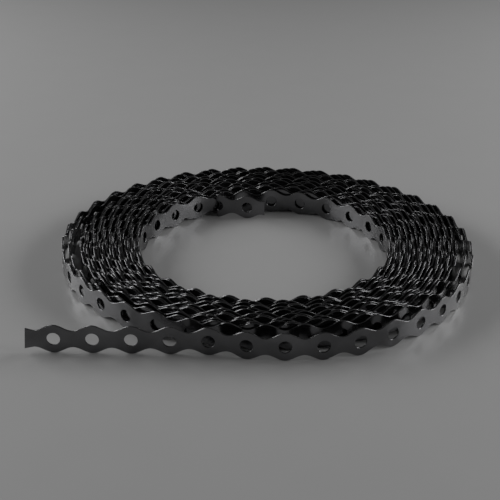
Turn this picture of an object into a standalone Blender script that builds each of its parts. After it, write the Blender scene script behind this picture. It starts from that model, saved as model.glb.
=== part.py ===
"""A coil of perforated steel fixing band with wavy edges, lying flat, its outer end led off straight.

The band is one strip of steel. It is wound outwards clockwise, seen from above, from a square-cut end
inside the bore to a straight tail at the front left. The loose outer turn, the tail and the innermost
turn are the real thin strip with its holes. The turns pressed together between them are one turned
ring, and each turn shows on both of its ends as a ridge with the band's waves.
Metres, +Z up. The coil's axis is the Z axis, and the coil lies on Z = 0.
"""
import math

import bmesh
import bpy
import numpy as np

# The strip
BAND_WIDTH = 0.012  # across the bulges that carry the holes
WAIST_WIDTH = 0.007  # across the waists between the holes
THICKNESS = 0.00075
HOLE_DIAMETER = 0.0053
HOLE_PITCH = 0.015
END_TO_FIRST_HOLE = 0.0105  # from the tail's cut end
LAST_HOLE_TO_END = 0.0039  # at the cut end inside the bore

# The coil, measured to the middle of the strip. Four values are at the front, right, back and left
TURNS = 21.515  # from the start of the tail to the end inside the bore
BORE = (0.0614, 0.0563, 0.0563, 0.0580)  # radii of the innermost turn
SPACING = (0.001116, 0.001623, 0.001664, 0.001464)  # from one close turn to the next
LEAST_GAP = 0.000045  # between the faces of two close turns
UNEVENNESS = 0.9  # how unevenly the close turns share the room between them, from 0 to 1
WAVES = (  # of the unevenness: waves a turn, share of the room, phase
    (0.37, 0.21, 0.4), (0.71, 0.13, 2.0), (2.31, 0.10, 1.1), (4.62, 0.06, 4.0))
# How far each eighth of the two outer turns stands off a close turn there, from the tail inwards
SLACK = (
    0.0083, 0.0063, 0.0031, -0.0001, -0.0004, 0.0027, 0.0055, 0.0033,
    0.0, 0.0022, 0.0020, 0.0002, 0.0001, 0.0022, 0.0038, 0.0025)
SLACK_PLACES = 8  # in a turn
PRESS = 0.0028  # how far the outer turn is pressed in at the front, where the tail leaves it
PRESSED_TURNS = 0.07
TAIL_LENGTH = 0.0918
TAIL_SETBACK = 0.0034  # how far the tail's straight part lies behind the front of the outer turn
TAIL_BEND = 0.024  # length in which the tail bends back

# The turned ring and what grows from it
PARTING_TURNS = 0.25  # share of a turn in which a loose turn leaves the ring
GROOVE_SLOPE = 0.8  # depth of a groove below the waists, for each metre between its two turns
WEB = 0.001  # what is left between the deepest grooves of both ends
SEAT = 0.0001  # how deep a loose turn's face lies behind the face of the turn that it grows from
ROOT = 0.003  # a loose turn runs at least this far into the ring, to a waist

# Facets
HOLE_SIDES = 8
BAND_STEPS = 4  # along one pitch of the loose turns
RIDGE_STEPS = 2  # along one pitch of each ridge
GROOVE_STEPS = 1
TABLE_STEPS = 720  # points a turn in the table of lengths
DIRECTION_REACH = 0.0003  # the strip's direction is taken between two points this far off
SLIVER = 0.00015  # no shorter piece of the strip is made

STEEL_COLOUR = (0.085, 0.085, 0.09, 1.0)
STEEL_ROUGHNESS = 0.38


def around(angle, quarters):
    """A value that is given at the front, right, back and left, and turns smoothly between them."""
    front, right, back, left = quarters
    from_front = angle + math.pi / 2
    level = (front + right + back + left) / 4
    ahead = (front - back) / 2
    aside = (right - left) / 2
    oval = (front + back - right - left) / 4
    return (
        level + ahead * np.cos(from_front) + aside * np.sin(from_front) + oval * np.cos(2 * from_front))


def ease(share):
    """Rises from 0 to 1 and is level at both ends."""
    share = np.clip(share, 0, 1)
    return share * share * (3 - 2 * share)


def angle_of(turns):
    """Turns are counted inwards from the start of the tail, which is at the front."""
    return -math.pi / 2 + 2 * math.pi * turns


def smooth_through(values, place):
    """A smooth curve through values that stand one apart, read at places between them."""
    values = np.asarray(values, float)
    index = np.clip(np.floor(place).astype(int), 0, len(values) - 2)
    share = place - index
    here, there = values[index], values[index + 1]
    here_slope = (there - values[np.maximum(index - 1, 0)]) / 2
    there_slope = (values[np.minimum(index + 2, len(values) - 1)] - here) / 2
    square, cube = share**2, share**3
    return (
        (2 * cube - 3 * square + 1) * here + (cube - 2 * square + share) * here_slope
        + (3 * square - 2 * cube) * there + (cube - square) * there_slope)


def close_radius(turns):
    """Radius of the close turns, which share the room between them unevenly but never touch."""
    angle, inside = angle_of(turns), TURNS - turns
    least = THICKNESS + LEAST_GAP
    free = around(angle, SPACING) - least
    uneven = sum(part * np.sin(2 * math.pi * waves * inside + phase) for waves, part, phase in WAVES)
    return around(angle, BORE) + least * inside + free * (inside + UNEVENNESS * ease(turns - 1) * uneven)


def band_radius(turns):
    """Radius of the strip's middle, its loose outer turns too."""
    turns = np.asarray(turns, float)
    offsets = SLACK[1:2] + SLACK + (0.0, 0.0)
    slack = smooth_through(offsets, np.clip(turns * SLACK_PLACES + 1, 1, len(offsets) - 1))
    return close_radius(turns) + slack - PRESS * (1 - ease(turns / PRESSED_TURNS))


def length_table():
    """Length of strip from the tail's cut end to each of many places along the coil."""
    turns = np.linspace(0, TURNS, int(TURNS * TABLE_STEPS) + 1)
    radius = band_radius(turns)
    x, y = radius * np.cos(angle_of(turns)), radius * np.sin(angle_of(turns))
    steps = np.hypot(np.diff(x), np.diff(y))
    return turns, TAIL_LENGTH + np.concatenate([[0.0], np.cumsum(steps)])


TABLE_TURNS, TABLE_LENGTHS = length_table()


def turns_at(length):
    return float(np.interp(length, TABLE_LENGTHS, TABLE_TURNS))


def length_at(turns):
    return float(np.interp(turns, TABLE_TURNS, TABLE_LENGTHS))


def half_width(length):
    """Half the strip's width: widest at the holes and narrowest half-way between them."""
    mean = (BAND_WIDTH + WAIST_WIDTH) / 4
    wave = (BAND_WIDTH - WAIST_WIDTH) / 4
    return mean + wave * math.cos(2 * math.pi * (length - END_TO_FIRST_HOLE) / HOLE_PITCH)


def last_hole():
    """Where along the strip the hole nearest to the end inside the bore is."""
    room = TABLE_LENGTHS[-1] - LAST_HOLE_TO_END - END_TO_FIRST_HOLE
    return END_TO_FIRST_HOLE + math.floor(room / HOLE_PITCH) * HOLE_PITCH


def waist_after(length):
    return END_TO_FIRST_HOLE + (math.ceil((length - END_TO_FIRST_HOLE) / HOLE_PITCH - 0.5) + 0.5) * HOLE_PITCH


def waist_before(length):
    return waist_after(length) - HOLE_PITCH


def on_centreline(length, radius_of):
    """A point of the strip's centreline, seen from above."""
    if length < TAIL_LENGTH:
        x = length - TAIL_LENGTH
        return np.array([x, TAIL_SETBACK * ease(-x / TAIL_BEND) - float(radius_of(0.0))])
    turns = turns_at(length)
    angle = angle_of(turns)
    return float(radius_of(turns)) * np.array([math.cos(angle), math.sin(angle)])


def on_strip(length, height, depth, radius_of):
    """A point of the strip: depth is measured outwards from its middle."""
    middle = on_centreline(length, radius_of)
    ahead = on_centreline(length + DIRECTION_REACH, radius_of)
    along = ahead - on_centreline(length - DIRECTION_REACH, radius_of)
    along /= np.linalg.norm(along)
    return (middle[0] + depth * along[1], middle[1] - depth * along[0], height)


def stations(start, end, step):
    """Regular places along the strip between start and end, in step with its holes, and both ends."""
    first = math.ceil((start - END_TO_FIRST_HOLE) / step)
    last = math.floor((end - END_TO_FIRST_HOLE) / step)
    regular = [END_TO_FIRST_HOLE + number * step for number in range(first, last + 1)]
    inner = [place for place in regular if start + step / 4 < place < end - step / 4]
    return [start] + inner + [end]


def zip_rows(row, other):
    """Triangles between two rows of (place, vertex), both in the order of their places."""
    triangles, i, j = [], 0, 0
    while i < len(row) - 1 or j < len(other) - 1:
        if j == len(other) - 1 or (i < len(row) - 1 and row[i + 1][0] <= other[j + 1][0]):
            triangles.append((row[i][1], row[i + 1][1], other[j][1]))
            i += 1
        else:
            triangles.append((row[i][1], other[j + 1][1], other[j][1]))
            j += 1
    return triangles


def loose_band(mesh, start, end, radius_of):
    """The real strip between two places along it, with its waves and holes, as one closed solid."""
    middle = BAND_WIDTH / 2
    vertices = {}

    def vertex(length, height, side):
        key = (round(length, 7), round(height, 7), side)
        if key not in vertices:
            vertices[key] = mesh.verts.new(on_strip(length, height, side * THICKNESS / 2, radius_of))
        return vertices[key]

    def face(*corners):
        mesh.faces.new([vertex(*corner) for corner in corners])

    def both_sides(corners):
        face(*[(length, height, 1) for length, height in corners])
        face(*[(length, height, -1) for length, height in reversed(corners)])

    def wall(a, b):
        face((*a, 1), (*b, 1), (*b, -1), (*a, -1))

    first = round((start - END_TO_FIRST_HOLE) / HOLE_PITCH)
    last = round((end - END_TO_FIRST_HOLE) / HOLE_PITCH)
    for number in range(first, last + 1):
        centre = END_TO_FIRST_HOLE + number * HOLE_PITCH
        cell_start = max(start, centre - HOLE_PITCH / 2)
        cell_end = min(end, centre + HOLE_PITCH / 2)
        if cell_end - cell_start < SLIVER:
            continue
        places = stations(cell_start, cell_end, HOLE_PITCH / BAND_STEPS)
        low = [(place, middle - half_width(place)) for place in places]
        high = [(place, middle + half_width(place)) for place in places]
        for edge in (low[::-1], high):
            for a, b in zip(edge, edge[1:]):
                wall(b, a)
        if math.isclose(cell_start, start):
            wall(high[0], low[0])
        if math.isclose(cell_end, end):
            wall(low[-1], high[-1])
        if not cell_start < centre < cell_end:
            both_sides(low + high[::-1])
            continue
        ring = []
        for side in range(HOLE_SIDES):
            angle = 2 * math.pi * (side + 0.5) / HOLE_SIDES
            rise = middle + HOLE_DIAMETER / 2 * math.sin(angle)
            ring.append((centre + HOLE_DIAMETER / 2 * math.cos(angle), rise))
        for a, b in zip(ring, ring[1:] + ring[:1]):
            wall(b, a)
        outline = turn_order(low + high[::-1], centre, middle)
        for triangle in zip_rows(outline, turn_order(ring, centre, middle)):
            both_sides(triangle)


def turn_order(points, x, y):
    """Points in the order of their angle about a centre, as (angle, point), the first again last."""
    order = sorted((math.atan2(point[1] - y, point[0] - x) % (2 * math.pi), point) for point in points)
    return order + [(order[0][0] + 2 * math.pi, order[0][1])]


def wound_ring(mesh):
    """The wound turns as one turned solid with its bore. The row of ridges is one spiral."""
    outer_end, inner_end = 1.0, TURNS - 1.0

    def rows(first, last, steps, radius_of, height_of):
        """Vertices along the spiral, with exact ones where walls begin and end, at the top and foot."""
        marks = sorted({first, outer_end + 1, inner_end - 1, last})
        places = []
        for a, b in zip(marks, marks[1:]):
            places += stations(length_at(a), length_at(b), HOLE_PITCH / steps)[:-1]
        places.append(length_at(marks[-1]))
        top, foot = [], []
        for place in places:
            turns = turns_at(place)
            radius, angle = float(radius_of(turns)), angle_of(turns)
            x, y, height = radius * math.cos(angle), radius * math.sin(angle), height_of(place)
            top.append((turns, mesh.verts.new((x, y, height))))
            foot.append((turns, mesh.verts.new((x, y, BAND_WIDTH - height))))
        return top, foot

    def groove_radius(turns):
        """Half-way between two ridges, where the middle of a straight facet dips as far as its ends rise."""
        middle = (band_radius(turns) + band_radius(turns + 1)) / 2
        return middle + (HOLE_PITCH / GROOVE_STEPS) ** 2 / (16 * middle)

    def groove_height(place):
        turns = turns_at(place)
        depth = GROOVE_SLOPE * (band_radius(turns) - band_radius(turns + 1))
        return max((BAND_WIDTH + WAIST_WIDTH) / 2 - depth, (BAND_WIDTH + WEB) / 2)

    def between(row, first, last):
        slack = 1e-7
        return [entry for entry in row if first - slack <= entry[0] <= last + slack]

    ridge, ridge_foot = rows(
        outer_end, inner_end, RIDGE_STEPS, band_radius,
        lambda place: BAND_WIDTH / 2 + half_width(place))
    groove, groove_foot = rows(
        outer_end, inner_end - 1, GROOVE_STEPS, groove_radius, groove_height)

    def slopes(ridges, grooves):
        outer = between(ridges, outer_end, inner_end - 1)
        inner = [(turns - 1, v) for turns, v in between(ridges, outer_end + 1, inner_end)]
        return zip_rows(outer, grooves) + zip_rows(grooves, inner)

    for triangle in slopes(ridge, groove):
        mesh.faces.new(triangle)
    for triangle in slopes(ridge_foot, groove_foot):
        mesh.faces.new(triangle[::-1])

    def wall(tops, feet):
        pairs = list(zip(tops, feet))
        for (a, c), (b, d) in zip(pairs, pairs[1:]):
            mesh.faces.new((a[1], c[1], d[1], b[1]))

    wall(between(ridge, outer_end, outer_end + 1), between(ridge_foot, outer_end, outer_end + 1))
    wall(between(ridge, inner_end - 1, inner_end)[::-1],
         between(ridge_foot, inner_end - 1, inner_end)[::-1])

    def at(row, turns):
        return min(row, key=lambda entry: abs(entry[0] - turns))

    steps_out = [(ridge, outer_end + 1), (groove, outer_end), (ridge, outer_end)]
    steps_in = [(ridge, inner_end - 1), (groove, inner_end - 1), (ridge, inner_end)]
    feet = {id(ridge): ridge_foot, id(groove): groove_foot}
    for steps in (steps_out, steps_in):
        tops = [at(row, turns) for row, turns in steps]
        lows = [at(feet[id(row)], turns) for row, turns in steps]
        wall(tops, lows)


def steel():
    material = bpy.data.materials.new("dark_steel")
    material.use_nodes = True
    shader = material.node_tree.nodes["Principled BSDF"]
    shader.inputs["Base Color"].default_value = STEEL_COLOUR
    shader.inputs["Metallic"].default_value = 1.0
    shader.inputs["Roughness"].default_value = STEEL_ROUGHNESS
    return material


def new_object(name, build, material):
    mesh = bmesh.new()
    build(mesh)
    bmesh.ops.triangulate(mesh, faces=mesh.faces[:])
    bmesh.ops.recalc_face_normals(mesh, faces=mesh.faces[:])
    data = bpy.data.meshes.new(name)
    mesh.to_mesh(data)
    mesh.free()
    data.materials.append(material)
    piece = bpy.data.objects.new(name, data)
    bpy.context.collection.objects.link(piece)
    return piece


def join(piece, guide, name):
    """The guide becomes part of the piece, and isn't a piece of its own."""
    guide.hide_render = True
    guide.display_type = "WIRE"
    union = piece.modifiers.new(name, "BOOLEAN")
    union.operation = "UNION"
    union.solver = "EXACT"
    union.object = guide


def inner_turn_radius(turns):
    """The innermost turn, which grows out of the face of the turn around it."""
    parting = 1 - ease((turns - (TURNS - 1)) / PARTING_TURNS)
    return band_radius(turns) + (THICKNESS / 2 + SEAT) * parting


def outer_turn_radius(turns):
    """The loose outer turn, which grows out of the face of the turn inside it."""
    parting = ease((turns - (1 - PARTING_TURNS)) / PARTING_TURNS)
    return band_radius(turns) - (THICKNESS / 2 + SEAT) * parting


def build():
    for old in list(bpy.data.objects):
        bpy.data.objects.remove(old)
    material = steel()
    band = new_object("fixing_band", wound_ring, material)
    outer = new_object(
        "loose_turn_and_tail",
        lambda mesh: loose_band(mesh, 0.0, waist_after(length_at(1.0) + ROOT), outer_turn_radius),
        material)
    inner = new_object(
        "innermost_turn",
        lambda mesh: loose_band(
            mesh, waist_before(length_at(TURNS - 1) - ROOT), last_hole() + LAST_HOLE_TO_END,
            inner_turn_radius),
        material)
    join(band, outer, "loose turn and tail")
    join(band, inner, "innermost turn")


build()
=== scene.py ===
"""A coil of dark steel fixing band: 10 m of thin strip with wavy edges and a hole in every bulge.

The whole band is modelled turn by turn at its real thickness, from the straight tail to the cut end
inside the bore, and lies on a plain floor in soft studio light.
"""
import math

import bpy
import numpy as np
from mathutils import Matrix, Vector


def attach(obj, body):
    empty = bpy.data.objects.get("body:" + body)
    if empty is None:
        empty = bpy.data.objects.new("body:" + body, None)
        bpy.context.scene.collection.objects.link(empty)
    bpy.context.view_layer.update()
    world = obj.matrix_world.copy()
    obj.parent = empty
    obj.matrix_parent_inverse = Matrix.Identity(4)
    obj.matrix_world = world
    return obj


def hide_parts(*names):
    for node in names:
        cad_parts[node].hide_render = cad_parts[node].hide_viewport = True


bl_info = {
    "name": "Fixing Band Coil",
    "version": (1, 0, 0),
    "blender": (4, 5, 0),
    "location": "View3D > Sidebar > Fixing Band",
    "description": "Winds a perforated steel fixing band into a flat coil with a straight tail",
    "category": "Add Mesh",
}

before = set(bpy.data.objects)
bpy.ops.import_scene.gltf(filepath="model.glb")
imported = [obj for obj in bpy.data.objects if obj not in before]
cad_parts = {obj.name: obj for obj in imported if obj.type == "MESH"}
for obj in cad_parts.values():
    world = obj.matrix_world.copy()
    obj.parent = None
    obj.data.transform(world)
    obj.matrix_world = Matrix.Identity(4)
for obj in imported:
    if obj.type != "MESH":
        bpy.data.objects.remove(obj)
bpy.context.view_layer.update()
NODE = "fixing_band"
BAND = "steel_band"  # the piece that shows the node
SHARP = math.radians(30)  # faces that meet at more than this keep a sharp edge


class StripSizes(bpy.types.PropertyGroup):
    """The strip before it is wound"""

    width: bpy.props.FloatProperty(
        name="Width", description="Across the bulges", default=0.012, unit="LENGTH")
    waist: bpy.props.FloatProperty(
        name="Waist", description="Across the waists between the holes", default=0.0070, unit="LENGTH")
    thickness: bpy.props.FloatProperty(
        name="Thickness", description="Of the sheet", default=0.00075, unit="LENGTH")
    hole: bpy.props.FloatProperty(
        name="Hole", description="Diameter of each hole", default=0.0053, unit="LENGTH")
    pitch: bpy.props.FloatProperty(
        name="Pitch", description="From one hole to the next", default=0.015, unit="LENGTH")
    first_hole: bpy.props.FloatProperty(
        name="First hole", description="From the tail's cut end to its first hole",
        default=0.0105, unit="LENGTH")
    end_margin: bpy.props.FloatProperty(
        name="End margin", description="From the last hole to the cut end inside the bore",
        default=0.0090, unit="LENGTH")
    edge: bpy.props.FloatProperty(
        name="Edge", description="How far the sheared corners are worn back",
        default=0.00006, unit="LENGTH")


class CoilShape(bpy.types.PropertyGroup):
    """How the strip is wound. Radii go to the middle of the strip"""

    tail: bpy.props.FloatProperty(
        name="Tail", description="Length led off at the outer end", default=0.0918, unit="LENGTH")
    setback: bpy.props.FloatProperty(
        name="Tail setback", description="How far the tail's straight part lies behind the front",
        default=0.0034, unit="LENGTH")
    tail_bend: bpy.props.FloatProperty(
        name="Tail bend", description="Length in which the tail bends back", default=0.024, unit="LENGTH")
    cut_skew: bpy.props.FloatProperty(
        name="Cut skew", description="How far the foot of the tail's cut end stands past its head",
        default=0.0010, unit="LENGTH")
    turns: bpy.props.FloatProperty(
        name="Turns", description="From the tail to the back of the bore", default=21.515)
    fold_turns: bpy.props.FloatProperty(
        name="Turns to fold", description="From the tail to the fold of the inner end", default=21.5745)
    fold_radius: bpy.props.FloatProperty(
        name="Fold radius", description="Of the fold that turns the inner end back",
        default=0.0008, unit="LENGTH")
    fold_slant: bpy.props.FloatProperty(
        name="Fold slant", description="How far the folded end slants from the back of the coil",
        default=math.radians(6), unit="ROTATION")
    press: bpy.props.FloatProperty(
        name="Press", description="How far the outer turn is pressed in where the tail leaves it",
        default=0.0028, unit="LENGTH")
    press_turns: bpy.props.FloatProperty(
        name="Pressed turns", description="Share of a turn that is pressed in", default=0.07)
    bore: bpy.props.FloatVectorProperty(
        name="Bore", description="Radius of the bore at the front, right, back and left", size=4,
        default=(0.0614, 0.0563, 0.0563, 0.0580), unit="LENGTH")
    spacing: bpy.props.FloatVectorProperty(
        name="Spacing", description="From one close turn to the next, at the same four places", size=4,
        default=(0.001116, 0.001623, 0.001664, 0.001464), unit="LENGTH")
    least_gap: bpy.props.FloatProperty(
        name="Least gap", description="Between the faces of two close turns",
        default=0.000045, unit="LENGTH")
    unevenness: bpy.props.FloatProperty(
        name="Unevenness", description="How unevenly the close turns share the room between them",
        default=0.9, min=0, max=1)
    slack: bpy.props.FloatVectorProperty(
        name="Slack", description="How far each eighth of the two outer turns stands off a close turn",
        size=16, default=(0.0083, 0.0063, 0.0031, -0.0001, -0.0004, 0.0027, 0.0055, 0.0033,
                          0.0, 0.0022, 0.0020, 0.0002, 0.0001, 0.0022, 0.0038, 0.0025), unit="LENGTH")
    lean: bpy.props.FloatProperty(
        name="Lean", description="How far the strip's edges stand off its middle",
        default=0.00012, unit="LENGTH")


class SteelFinish(bpy.types.PropertyGroup):
    """The looks of the strip and of the stage"""

    face: bpy.props.FloatVectorProperty(
        name="Face", description="Dark rolled faces of the strip", subtype="COLOR", size=3,
        default=(0.14, 0.14, 0.144))
    sheared: bpy.props.FloatVectorProperty(
        name="Sheared edge", description="Punched and sheared edges", subtype="COLOR", size=3,
        default=(0.125, 0.125, 0.128))
    roughness: bpy.props.FloatProperty(
        name="Roughness", description="Of the rolled faces", default=0.20, min=0, max=1)
    floor: bpy.props.FloatVectorProperty(
        name="Floor", description="Plain floor", subtype="COLOR", size=3,
        default=(0.332, 0.332, 0.332))
    floor_roughness: bpy.props.FloatProperty(
        name="Floor roughness", description="Of the plain floor", default=0.34, min=0, max=1)
    sky: bpy.props.FloatProperty(
        name="Sky", description="Strength of the even white light all round", default=0.06, min=0)


def around(angle, quarters):
    """A value given at the front, right, back and left of the coil, and smooth between them."""
    front, right, back, left = quarters
    turned = angle + math.pi / 2
    level = (front + right + back + left) / 4
    oval = (front + back - right - left) / 4
    ahead = (front - back) / 2 * np.cos(turned)
    aside = (right - left) / 2 * np.sin(turned)
    return level + ahead + aside + oval * np.cos(2 * turned)


def ease(share):
    """Rises from 0 to 1 and is level at both ends."""
    share = np.clip(share, 0, 1)
    return share * share * (3 - 2 * share)


def smooth_through(values, place):
    """A smooth curve through values that stand one apart, read at places between them."""
    values = np.asarray(values, float)
    index = np.clip(np.floor(place).astype(int), 0, len(values) - 2)
    share = place - index
    before = values[np.maximum(index - 1, 0)]
    here, there = values[index], values[index + 1]
    after = values[np.minimum(index + 2, len(values) - 1)]
    here_slope, there_slope = (there - before) / 2, (after - here) / 2
    square, cube = share**2, share**3
    return (
        (2 * cube - 3 * square + 1) * here + (cube - 2 * square + share) * here_slope
        + (3 * square - 2 * cube) * there + (cube - square) * there_slope)


class WoundStrip:
    """The strip's middle line, from the tail's cut end to the end inside the bore."""

    POINTS_A_TURN = 720
    TAIL_POINTS = 120
    TAIL_IN_TURNS = 0.2  # as the leaning counts it
    SLACK_PLACES = 8  # in a turn
    SKEWED_LENGTH = 0.003  # of the tail, in which the skew of its cut dies away
    FOLD_POINTS = 16
    PAST_FOLD = 0.030  # how far the line is drawn past the fold, which is more than the strip needs
    # Of the unevenness: waves a turn, share of the room, phase
    WAVES = ((0.37, 0.21, 0.4), (0.71, 0.13, 2.0), (2.31, 0.10, 1.1), (4.62, 0.06, 4.0))
    # Of the leaning: waves a turn, share, phase
    LEAN_WAVES = ((0.83, 0.6, 0.7), (3.1, 0.4, 2.2))
    # Creases: place in turns, depth outwards, reach each way in turns
    CREASES = ((0.104, 0.00035, 0.012), (0.8775, 0.00025, 0.012))

    def __init__(self, strip, coil):
        self.strip, self.coil = strip, coil
        self.turns = np.linspace(0, coil.fold_turns, int(coil.fold_turns * self.POINTS_A_TURN) + 1)
        angle = -math.pi / 2 + 2 * math.pi * self.turns
        radius = self.radius(self.turns, angle)
        x, y = radius * np.cos(angle), radius * np.sin(angle)
        tail_x = np.linspace(-coil.tail - coil.cut_skew, 0, self.TAIL_POINTS + 1)[:-1]
        tail_y = coil.setback * ease(-tail_x / coil.tail_bend) - radius[0]
        fold_x, fold_y = self.fold(x, y)
        self.x = np.concatenate([tail_x, x, fold_x])
        self.y = np.concatenate([tail_y, y, fold_y])
        steps = np.hypot(np.diff(self.x), np.diff(self.y))
        self.length = np.concatenate([[0.0], np.cumsum(steps)]) - coil.cut_skew
        along = np.stack([np.gradient(self.x, self.length), np.gradient(self.y, self.length)])
        along /= np.linalg.norm(along, axis=0)
        self.out = np.stack([along[1], -along[0]])
        tail_turns = np.linspace(-self.TAIL_IN_TURNS, 0, self.TAIL_POINTS + 1)[:-1]
        fold_turns = np.full(len(fold_x), self.turns[-1])
        self.lean = self.leaning(np.concatenate([tail_turns, self.turns, fold_turns]))

    def fold(self, x, y):
        """The inner end is folded back, and slants away from the coil."""
        coil = self.coil
        heading = math.atan2(y[-1] - y[-2], x[-1] - x[-2])
        turned = (-coil.fold_slant - heading) % (2 * math.pi)
        headings = heading + turned * np.arange(1, self.FOLD_POINTS + 1) / self.FOLD_POINTS
        fold_x = x[-1] + coil.fold_radius * (np.sin(headings) - math.sin(heading))
        fold_y = y[-1] - coil.fold_radius * (np.cos(headings) - math.cos(heading))
        reach = np.linspace(0, self.PAST_FOLD, self.FOLD_POINTS + 1)[1:]
        return (
            np.concatenate([fold_x, fold_x[-1] + reach * math.cos(headings[-1])]),
            np.concatenate([fold_y, fold_y[-1] + reach * math.sin(headings[-1])]))

    def leaning(self, turns):
        """How far the head of the strip leans outwards and its foot inwards."""
        return self.coil.lean * sum(
            share * np.sin(2 * math.pi * waves * turns + phase) for waves, share, phase in self.LEAN_WAVES)

    def radius(self, turns, angle):
        """Radius of the middle line, its loose outer turns too."""
        coil = self.coil
        offsets = [coil.slack[1], *coil.slack, 0, 0]
        slack = smooth_through(offsets, np.clip(turns * self.SLACK_PLACES + 1, 1, len(offsets) - 1))
        pressed = coil.press * (1 - ease(turns / coil.press_turns))
        creased = sum(
            depth * np.clip(1 - abs(turns - place) / reach, 0, 1) for place, depth, reach in self.CREASES)
        return self.close_radius(turns, angle) + slack - pressed + creased

    def close_radius(self, turns, angle):
        """The close turns share the room between them unevenly, but never touch."""
        coil, inside = self.coil, self.coil.turns - turns
        least = self.strip.thickness + coil.least_gap
        free = around(angle, coil.spacing) - least
        uneven = sum(
            part * np.sin(2 * math.pi * waves * inside + phase) for waves, part, phase in self.WAVES)
        uneven = coil.unevenness * ease(turns - 1) * uneven
        return around(angle, coil.bore) + least * inside + free * (inside + uneven)

    def at(self, along, up, depth):
        """Points of the wound strip from places in the flat one, its first cut skewed."""
        near = np.clip(1 - along / self.SKEWED_LENGTH, 0, 1)
        along = along - self.coil.cut_skew * near * (1 - up / self.strip.width)
        lean = np.interp(along, self.length, self.lean) * (up / self.strip.width * 2 - 1)
        off = depth + lean
        x = np.interp(along, self.length, self.x) + off * np.interp(along, self.length, self.out[0])
        y = np.interp(along, self.length, self.y) + off * np.interp(along, self.length, self.out[1])
        return np.stack([x, y, up], axis=-1)

    def last_hole(self):
        """The number of the last hole inside the bore, when the tail's first one is 0."""
        strip = self.strip
        return math.floor((self.length[-1] - strip.end_margin - strip.first_hole) / strip.pitch)

    def lengths_at(self, turns):
        """Lengths of strip from the tail's cut end to places in turns."""
        wound = slice(self.TAIL_POINTS, self.TAIL_POINTS + len(self.turns))
        return np.interp(turns, self.turns, self.length[wound])


class FlatCell:
    """One pitch of the strip in the flat: corners (along, up, depth) and the faces between them."""

    def __init__(self, strip, start, end, centre, steps, sides, fine, caps=(False, False)):
        self.strip = strip
        self.corners, self.faces = [], []
        self.middle = strip.width / 2
        face, edge = strip.thickness / 2, strip.edge
        # Round a cut edge, from the outer face to the inner one: how far back, and depth
        self.worn = ((edge, face), (0, face - edge), (0, edge - face), (edge, -face))
        self.sharp = ((0, face), (0, -face))
        places = self.places(start, end, centre, steps)
        low = self.edge_rows([(place, self.middle - self.half(place - centre)) for place in places], -1)
        high = self.edge_rows([(place, self.middle + self.half(place - centre)) for place in places], 1)
        self.skin(low, reverse=True)
        self.skin(high)
        if start < centre < end:
            self.punch(low, high, centre, sides, self.worn if fine else self.sharp)
        else:
            self.plain(low, high)
        if caps[0]:
            self.faces.append([row[0] for row in high] + [row[0] for row in reversed(low)])
        if caps[1]:
            self.faces.append([row[-1] for row in low] + [row[-1] for row in reversed(high)])

    def places(self, start, end, centre, steps):
        """Regular places along the strip, in step with the holes, and both ends."""
        step = self.strip.pitch / steps
        regular = [centre + (number - steps / 2) * step for number in range(steps + 1)]
        return [start] + [place for place in regular if start + step / 4 < place < end - step / 4] + [end]

    def half(self, offset):
        """Half the strip's width, widest at the hole and narrowest at the waists."""
        strip = self.strip
        wave = (strip.width - strip.waist) / 4 * math.cos(2 * math.pi * offset / strip.pitch)
        return (strip.width + strip.waist) / 4 + wave

    def add(self, along, up, depth):
        self.corners.append((along, up, depth))
        return len(self.corners) - 1

    def edge_rows(self, line, side):
        """Four rows of corners round an edge of the strip, from its outer face to its inner one."""
        rows = []
        for back, depth in self.worn:
            rows.append([self.add(along, up - side * back, depth) for along, up in line])
        return rows

    def skin(self, rows, closed=False, reverse=False):
        """Faces between each row of corners and the next."""
        for upper, lower in zip(rows, rows[1:]):
            count = len(upper)
            for here in range(count if closed else count - 1):
                there = (here + 1) % count
                quad = [upper[here], upper[there], lower[there], lower[here]]
                self.faces.append(quad[::-1] if reverse else quad)

    def punch(self, low, high, centre, sides, levels):
        """Both faces with a hole, and the hole's wall."""
        rings = []
        for back, depth in levels:
            ring, radius = [], self.strip.hole / 2 + back
            for side in range(sides):
                angle = 2 * math.pi * (side + 0.5) / sides
                along = centre + radius * math.cos(angle)
                ring.append(self.add(along, self.middle + radius * math.sin(angle), depth))
            rings.append(ring)
        self.skin(rings, closed=True)
        self.web(low[0] + high[0][::-1], rings[0], centre)
        self.web(low[-1] + high[-1][::-1], rings[-1], centre, reverse=True)

    def web(self, outline, ring, centre, reverse=False):
        """Triangles between the outline of a face and the ring round its hole."""
        outer, inner = self.by_angle(outline, centre), self.by_angle(ring, centre)
        i = j = 0
        while i < len(outer) - 1 or j < len(inner) - 1:
            if j == len(inner) - 1 or (i < len(outer) - 1 and outer[i + 1][0] <= inner[j + 1][0]):
                triangle = [outer[i][1], outer[i + 1][1], inner[j][1]]
                i += 1
            else:
                triangle = [outer[i][1], inner[j + 1][1], inner[j][1]]
                j += 1
            self.faces.append(triangle[::-1] if reverse else triangle)

    def by_angle(self, row, centre):
        """Corners in the order of their angle round the hole, the first again last."""
        order = []
        for corner in row:
            along, up, _ = self.corners[corner]
            order.append((math.atan2(up - self.middle, along - centre) % (2 * math.pi), corner))
        order.sort()
        return order + [(order[0][0] + 2 * math.pi, order[0][1])]

    def plain(self, low, high):
        """Both faces without a hole."""
        for bottom, top, reverse in ((low[0], high[0], False), (low[-1], high[-1], True)):
            for here in range(len(bottom) - 1):
                quad = [bottom[here], bottom[here + 1], top[here + 1], top[here]]
                self.faces.append(quad[::-1] if reverse else quad)


# Cells: places along a pitch, corners round the hole, and whether its edge is worn too
FINE = {"steps": 16, "sides": 32, "fine": True}
PLAIN = {"steps": 10, "sides": 12, "fine": False}  # the close turns, whose faces hardly show
FINE_OUTER_TURNS = 2.1
FINE_INNER_TURNS = 1.3
CORNER_GRID = 1e-7  # corners of two cells that round to the same place on it are one


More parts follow.
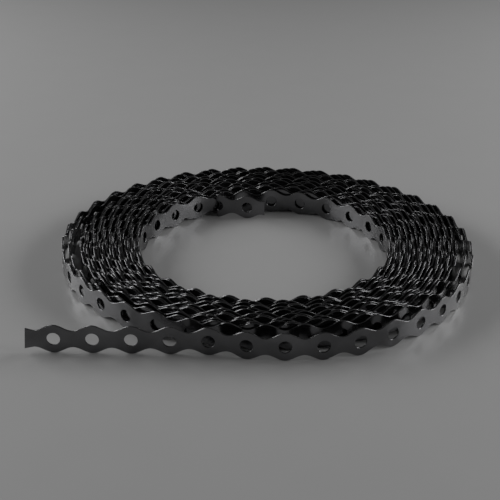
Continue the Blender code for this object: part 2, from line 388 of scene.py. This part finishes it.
def strip_in_the_flat(strip, wound):
    """Corners and faces of the whole strip, cell by cell, before it is wound."""
    last = wound.last_hole()
    fine_from_tail, fine_to_end = wound.lengths_at([FINE_OUTER_TURNS, wound.coil.turns - FINE_INNER_TURNS])
    corner_sets, face_sets, total = [], [], 0

    def take(cell, centres):
        """Copies a cell to each of many places along the strip."""
        nonlocal total
        corners = np.array(cell.corners)
        for centre in centres:
            corner_sets.append(corners + (centre, 0, 0))
            face_sets.append((cell.faces, total))
            total += len(corners)

    # The tail's cut end up to its first waist, the last hole with the other cut end, and all between
    reach = strip.pitch / 2
    first_waist = strip.first_hole - reach
    take(FlatCell(strip, -first_waist, 0, reach, caps=(True, False), **FINE), [first_waist])
    take(FlatCell(strip, -reach, strip.end_margin, 0, caps=(False, True), **FINE),
         [strip.first_hole + last * strip.pitch])
    centres = strip.first_hole + np.arange(last) * strip.pitch
    shows = (centres < fine_from_tail) | (centres > fine_to_end)
    take(FlatCell(strip, -reach, reach, 0, **FINE), centres[shows])
    take(FlatCell(strip, -reach, reach, 0, **PLAIN), centres[~shows])
    corners = np.concatenate(corner_sets)
    _, first, same = np.unique(
        np.round(corners / CORNER_GRID).astype(np.int64), axis=0, return_index=True, return_inverse=True)
    same = same.ravel()
    faces = [[int(same[corner + base]) for corner in face] for cell, base in face_sets for face in cell]
    return corners[first], faces


class Value:
    """A socket of a material. Sums and products of values add their Math nodes."""

    def __init__(self, finish, socket):
        self.finish, self.socket = finish, socket

    def math(self, operation, *others):
        return self.finish.add("ShaderNodeMath", {"operation": operation}, dict(enumerate((self, *others))))

    def __add__(self, other):
        return self.math("ADD", other)

    __radd__ = __add__

    def __sub__(self, other):
        return self.math("SUBTRACT", other)

    def __rsub__(self, other):
        return self.finish.add("ShaderNodeMath", {"operation": "SUBTRACT"}, {0: other, 1: self})

    def __mul__(self, other):
        return self.math("MULTIPLY", other)

    __rmul__ = __mul__

    def __abs__(self):
        return self.math("ABSOLUTE")

    def step(self, low, high):
        """0 below low, 1 above high and smooth between."""
        return self.finish.add(
            "ShaderNodeMapRange", {"interpolation_type": "SMOOTHSTEP"},
            {"Value": self, "From Min": low, "From Max": high})


class Finish:
    """A material and the one way that its nodes are added."""

    def __init__(self, name):
        self.material = bpy.data.materials.new(name)
        self.material.use_nodes = True
        self.tree = self.material.node_tree
        self.shader = self.tree.nodes["Principled BSDF"]

    def add(self, kind, settings=None, inputs=None, output=0):
        """A node of a kind, its settings first and then what its sockets take."""
        node = self.tree.nodes.new(kind)
        for name, value in (settings or {}).items():
            setattr(node, name, value)
        for name, value in (inputs or {}).items():
            self.feed(node.inputs[name], value)
        return Value(self, node.outputs[output])

    def feed(self, socket, value):
        if isinstance(value, Value):
            self.tree.links.new(value.socket, socket)
        else:
            socket.default_value = value

    def set(self, **values):
        """Feeds the shader's own sockets, named with _ for each space."""
        for name, value in values.items():
            self.feed(self.shader.inputs[name.replace("_", " ")], value)

    def attribute(self, name):
        return self.add("ShaderNodeAttribute", {"attribute_name": name}, output=2)

    def noise(self, vector, scale, detail, roughness):
        return self.add(
            "ShaderNodeTexNoise", None,
            {"Vector": vector, "Scale": scale, "Detail": detail, "Roughness": roughness})

    def mix(self, share, first, second):
        return self.add(
            "ShaderNodeMix", {"data_type": "RGBA"}, {0: share, 6: first, 7: second}, output=2)


def shade(colour, times):
    """A colour made darker or lighter, for a colour socket."""
    return (*[value * times for value in colour], 1)


class SteelGrain:
    """The noises on the strip, and what they do to its looks."""

    # Noises: scale, detail, roughness
    CLOUD = (55, 3, 0.55)
    GRAIN = (900, 3, 0.6)
    STREAK = (2600, 2, 0.5)
    STREAK_SQUEEZE = 0.06  # of the lengthwise direction, so that streaks run along the strip
    DEPTH_STRETCH = 4  # of the direction through the sheet
    # Colours: darkest and lightest shade, and the stretch of the noise between them
    CLOUD_SHADES = (0.82, 1.22)
    CLOUD_STEP = (0.3, 0.7)
    GRAIN_SHADES = (0.7, 1.25)
    GRAIN_STEP = (0.35, 0.65)
    ROLLED_CORNER = 0.15  # share of a worn corner, next to the face, that isn't bare
    RIM = (0.0001, 0.0005)  # from a hole's edge to where its barer rim begins to fade, and ends
    RIM_BARE = 0.35
    # What each adds to the roughness
    CLOUD_ROUGHNESS = 0.10
    GRAIN_ROUGHNESS = 0.05
    SHEARED_ROUGHNESS = 0.07
    BUMP = 0.04
    BUMP_HEIGHT = 0.0001


def rolled_steel(strip, finish):
    """Dark rolled steel, lighter and barer where it was sheared and punched."""
    steel = Finish("rolled_dark_steel")
    along, across, depth = [steel.attribute(name) for name in ("along", "across", "depth")]
    deep = depth * SteelGrain.DEPTH_STRETCH
    squeezed = along * SteelGrain.STREAK_SQUEEZE
    flat = steel.add("ShaderNodeCombineXYZ", None, {"X": along, "Y": across, "Z": deep})
    drawn = steel.add("ShaderNodeCombineXYZ", None, {"X": squeezed, "Y": across, "Z": deep})
    cloud = steel.noise(flat, *SteelGrain.CLOUD)
    grain = steel.noise(flat, *SteelGrain.GRAIN)
    streak = steel.noise(drawn, *SteelGrain.STREAK)

    face = strip.thickness / 2
    sheared = 1 - abs(depth).step(face - strip.edge, face - strip.edge * SteelGrain.ROLLED_CORNER)
    place = (along - strip.first_hole + strip.pitch / 2).math("FLOORED_MODULO", strip.pitch)
    beside = place - strip.pitch / 2
    from_hole = (beside * beside + across * across).math("SQRT")
    rim = 1 - from_hole.step(*[strip.hole / 2 + width for width in SteelGrain.RIM])

    dark, light = [shade(finish.face, times) for times in SteelGrain.CLOUD_SHADES]
    rolled = steel.mix(cloud.step(*SteelGrain.CLOUD_STEP), dark, light)
    dark, light = [shade(finish.sheared, times) for times in SteelGrain.GRAIN_SHADES]
    bare = steel.mix(grain.step(*SteelGrain.GRAIN_STEP), dark, light)
    share = (sheared + rim * SteelGrain.RIM_BARE).math("MINIMUM", 1.0)
    roughness = (
        finish.roughness + (cloud - 0.5) * SteelGrain.CLOUD_ROUGHNESS
        + (grain - 0.5) * SteelGrain.GRAIN_ROUGHNESS + sheared * SteelGrain.SHEARED_ROUGHNESS)
    bump = steel.add("ShaderNodeBump", None, {
        "Strength": SteelGrain.BUMP, "Distance": SteelGrain.BUMP_HEIGHT,
        "Height": (streak + grain) * 0.5})
    steel.set(
        Base_Color=steel.mix(share, rolled, bare), Metallic=1.0, Roughness=roughness, Normal=bump)
    return steel.material


FLOOR_MOTTLE = (40, 2, 0.5)  # noise scale, detail and roughness
FLOOR_SHADES = (0.985, 1.015)


def plain_floor(finish):
    """The floor's colour, with a faint mottle."""
    floor = Finish("plain_floor")
    mottle = floor.noise(floor.add("ShaderNodeNewGeometry"), *FLOOR_MOTTLE)
    low, high = [shade(finish.floor, times) for times in FLOOR_SHADES]
    floor.set(Base_Color=floor.mix(mottle, low, high), Roughness=finish.floor_roughness)
    return floor.material


def new_piece(name, corners, faces, material):
    mesh = bpy.data.meshes.new(name)
    mesh.from_pydata(corners, [], faces)
    mesh.materials.append(material)
    piece = bpy.data.objects.new(name, mesh)
    bpy.context.collection.objects.link(piece)
    return piece


class FIXINGBAND_OT_wind(bpy.types.Operator):
    """Winds the whole punched strip into its coil"""

    bl_idname = "fixingband.wind"
    bl_label = "Wind the band"

    def execute(self, context):
        settings = context.scene
        strip, coil = settings.fixing_band_strip, settings.fixing_band_coil
        wound = WoundStrip(strip, coil)
        corners, faces = strip_in_the_flat(strip, wound)
        along, up, depth = corners.T
        steel = rolled_steel(strip, settings.fixing_band_finish)
        band = new_piece(BAND, wound.at(along, up, depth).tolist(), faces, steel)
        mesh = band.data
        for name, values in (("along", along), ("across", up - strip.width / 2), ("depth", depth)):
            mesh.attributes.new(name, "FLOAT", "POINT").data.foreach_set("value", values)
        mesh.shade_smooth()
        mesh.set_sharp_from_angle(angle=SHARP)
        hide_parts(NODE)
        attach(band, "root")
        return {"FINISHED"}


class PhotoCamera:
    """The camera's fitted place: it looks at a point on the floor from the front and above."""

    AIM = Vector((0.0033, 0.0038, 0))
    DISTANCE = 0.4663
    ELEVATION = math.radians(25.4)
    ROLL = math.radians(0.98)
    PICTURE = 500  # pixels each way
    FOCAL = 985.7 / PICTURE  # in widths of the picture
    AIM_AT = (273.5 / PICTURE, 255.1 / PICTURE)  # where the picture shows that point
    SENSOR = 36.0

    def place(self, scene):
        cosine, sine = math.cos(self.ELEVATION), math.sin(self.ELEVATION)
        forward, up, right = Vector((0, cosine, -sine)), Vector((0, sine, cosine)), Vector((1, 0, 0))
        turn = Matrix((right, up, -forward)).transposed() @ Matrix.Rotation(self.ROLL, 3, "Z")
        lens = bpy.data.cameras.new("photo_camera")
        lens.sensor_width = self.SENSOR
        lens.lens = self.FOCAL * self.SENSOR
        lens.shift_x = 0.5 - self.AIM_AT[0]
        lens.shift_y = self.AIM_AT[1] - 0.5
        lens.clip_start = 0.01
        camera = bpy.data.objects.new("photo_camera", lens)
        camera.matrix_world = Matrix.Translation(self.AIM - forward * self.DISTANCE) @ turn.to_4x4()
        scene.collection.objects.link(camera)
        scene.camera = camera


# Soft boxes: name, place, size across and up, watts
SOFT_BOXES = (
    ("left_box", (-0.81, 0.20, 0.38), (1.00, 0.36), 8.3),
    ("right_box", (0.81, 0.18, 0.38), (1.04, 0.36), 8.3),
)
# Glints on the band's far edges, and lights nothing else
GLINT_BOX = ("back_left_box", (-0.36, 0.73, 0.21), (0.26, 0.16), 0.48)
BOXES_AIM = Vector((0, 0, 0.01))
FLOOR_REACH = 4.0  # each way from the coil's axis


class FIXINGBAND_OT_stage(bpy.types.Operator):
    """Sets the plain floor, the soft light and the camera"""

    bl_idname = "fixingband.stage"
    bl_label = "Set the stage"

    def execute(self, context):
        scene = context.scene
        scene.view_settings.view_transform = "Standard"
        PhotoCamera().place(scene)
        self.lay_floor(scene.fixing_band_finish)
        for soft_box in SOFT_BOXES:
            self.hang_box(scene, *soft_box)
        lit = bpy.data.collections.new("lit_by_back_left_box")
        lit.objects.link(bpy.data.objects[BAND])
        self.hang_box(scene, *GLINT_BOX).light_linking.receiver_collection = lit
        self.light_sky(scene)
        return {"FINISHED"}

    def lay_floor(self, finish):
        corners = [
            (across * FLOOR_REACH, back * FLOOR_REACH, 0)
            for across, back in ((-1, -1), (1, -1), (1, 1), (-1, 1))]
        floor = new_piece("floor", corners, [(0, 1, 2, 3)], plain_floor(finish))

    def light_sky(self, scene):
        """Even white light from all round."""
        world = bpy.data.worlds.new("studio")
        scene.world = world
        world.use_nodes = True
        sky = world.node_tree.nodes["Background"]
        sky.inputs["Color"].default_value = (1, 1, 1, 1)
        sky.inputs["Strength"].default_value = scene.fixing_band_finish.sky

    def hang_box(self, scene, name, place, size, watts):
        lamp = bpy.data.lights.new(name, "AREA")
        lamp.shape = "RECTANGLE"
        lamp.size, lamp.size_y = size
        lamp.energy = watts
        box = bpy.data.objects.new(name, lamp)
        box.location = place
        box.rotation_euler = (BOXES_AIM - box.location).to_track_quat("-Z", "Y").to_euler()
        scene.collection.objects.link(box)
        return box


class FIXINGBAND_PT_panel(bpy.types.Panel):
    """Sizes, finish and the steps that make the coil"""

    bl_label = "Fixing Band"
    bl_idname = "FIXINGBAND_PT_panel"
    bl_space_type = "VIEW_3D"
    bl_region_type = "UI"
    bl_category = "Fixing Band"

    def draw(self, context):
        scene = context.scene
        for group in (scene.fixing_band_strip, scene.fixing_band_coil, scene.fixing_band_finish):
            box = self.layout.box()
            for name in group.__annotations__:
                box.prop(group, name)
        for operator in STEPS:
            self.layout.operator(operator.bl_idname)


STEPS = (FIXINGBAND_OT_wind, FIXINGBAND_OT_stage)
GROUPS = {"fixing_band_strip": StripSizes, "fixing_band_coil": CoilShape, "fixing_band_finish": SteelFinish}


def register():
    for part in (*GROUPS.values(), *STEPS, FIXINGBAND_PT_panel):
        bpy.utils.register_class(part)
    for name, group in GROUPS.items():
        setattr(bpy.types.Scene, name, bpy.props.PointerProperty(type=group))


def unregister():
    for name in GROUPS:
        delattr(bpy.types.Scene, name)
    for part in reversed((*GROUPS.values(), *STEPS, FIXINGBAND_PT_panel)):
        bpy.utils.unregister_class(part)


def main():
    register()
    bpy.ops.fixingband.wind()
    bpy.ops.fixingband.stage()


if __name__ == "__main__":
    main()
